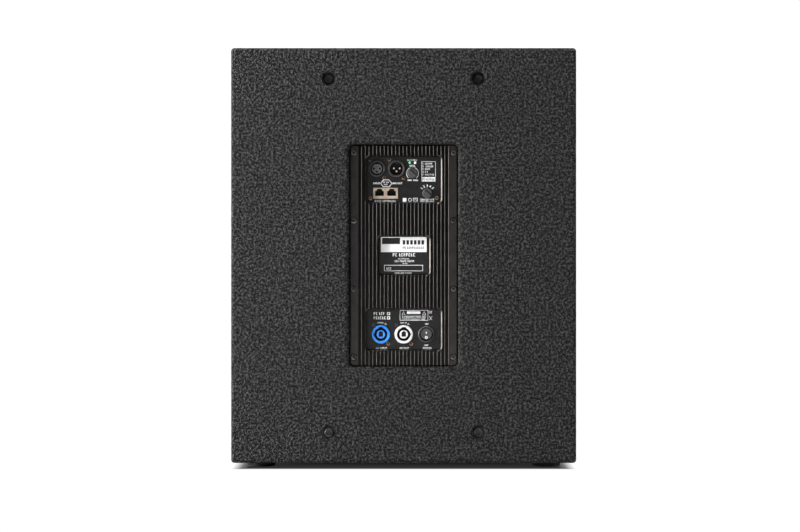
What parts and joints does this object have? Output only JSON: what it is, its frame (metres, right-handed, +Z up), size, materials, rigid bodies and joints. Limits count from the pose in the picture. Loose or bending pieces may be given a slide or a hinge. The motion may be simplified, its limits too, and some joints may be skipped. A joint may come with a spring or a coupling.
{
  "type": "powered subwoofer",
  "caption": "Floor-standing powered subwoofer: a plywood box with a woofer and slot port behind a steel grille, and a finned amplifier plate with sockets in the back.",
  "frame": {"origin": "on the ground, under the middle of the cabinet", "axes": "+Z up; the grille faces -Y and the amplifier plate faces +Y; left is -X and right is +X, as seen from the front"},
  "size_m": [0.45, 0.57, 0.548],
  "materials": {
    "textured_paint": "rough spatter-textured black paint on plywood",
    "bare_wood": "unpainted birch plywood",
    "black_steel": "black powder coat, satin",
    "cast_frame": "black painted casting",
    "rubber": "matte",
    "paper_cone": "pressed paper, coated",
    "treated_cloth": "resin-treated cloth",
    "ferrite": "sintered, matte",
    "zinc_steel": "zinc plated",
    "copper": "enamelled copper winding",
    "anodised": "black anodised extrusion",
    "circuit_board": "solder mask",
    "black_plastic": "moulded, fine grain",
    "grey_plastic": "moulded, satin",
    "blue_plastic": "moulded",
    "white_plastic": "moulded",
    "tin_shield": "tin plated",
    "green_lens": "lit lens",
    "clear_lens": "clear lens",
    "label_plate": "black printed plate"
  },
  "bodies": {
    "cabinet": {"top_panel": "textured_paint", "bottom_panel": "textured_paint", "left_side_panel": "textured_paint", "right_side_panel": "textured_paint", "rear_panel": "textured_paint", "front_baffle": "textured_paint", "port_shelf": "textured_paint", "window_brace": "bare_wood", "foot_front_left": "rubber", "foot_front_right": "rubber", "foot_rear_left": "rubber", "foot_rear_right": "rubber", "left_handle": "black_plastic", "right_handle": "black_plastic", "pole_socket": "black_plastic", "grille": "black_steel", "rigging_screw_upper_left": "black_steel", "rigging_screw_upper_right": "black_steel", "rigging_screw_lower_left": "black_steel", "rigging_screw_lower_right": "black_steel", "woofer_frame": "cast_frame", "surround": "rubber", "spider": "treated_cloth", "front_plate": "zinc_steel", "magnet": "ferrite", "pole_yoke": "zinc_steel", "amp_plate": "anodised", "control_panel": "anodised", "amp_gasket_left": "rubber", "amp_gasket_right": "rubber", "nameplate": "label_plate", "input_socket": "black_plastic", "link_socket": "black_plastic", "network_jack": "tin_shield", "ac_inlet": "blue_plastic", "ac_outlet": "white_plastic", "rocker_bezel": "black_plastic", "rocker_pin": "zinc_steel", "volume_pot": "grey_plastic", "preset_switch": "black_plastic", "power_led": "green_lens", "limit_led": "clear_lens", "amp_cover": "zinc_steel", "signal_board": "circuit_board", "amp_board": "circuit_board", "power_board": "circuit_board", "transformer": "copper", "capacitor_upper": "grey_plastic", "capacitor_lower": "grey_plastic", "speaker_cable": "rubber"},
    "cone_assembly": {"cone": "paper_cone", "dust_cap": "paper_cone", "voice_coil": "copper"},
    "volume_control": {"volume_knob": "grey_plastic", "volume_shaft": "zinc_steel"},
    "preset_control": {"preset_knob": "grey_plastic", "preset_shaft": "zinc_steel"},
    "power_switch": {"rocker_paddle": "black_plastic"}
  },
  "joints": [
    {"name": "cone_travel", "type": "slide", "parent": "cabinet", "child": "cone_assembly", "axis": [0, -1, 0], "range_m": [-0.012, 0.012], "stiffness_N_per_m": 6000, "deforming": ["surround", "spider"]},
    {"name": "volume_turn", "type": "hinge", "parent": "cabinet", "child": "volume_control", "pos_m": [-0.0115, 0.2725, 0.3849], "axis": [0, -1, 0], "range_deg": [-105, 195]},
    {"name": "preset_turn", "type": "hinge", "parent": "cabinet", "child": "preset_control", "pos_m": [-0.0308, 0.2725, 0.3589], "axis": [0, -1, 0], "range_deg": [0, 104]},
    {"name": "power_rock", "type": "hinge", "parent": "cabinet", "child": "power_switch", "pos_m": [-0.0295, 0.273, 0.1746], "axis": [-1, 0, 0], "range_deg": [0, 18]}
  ]
}
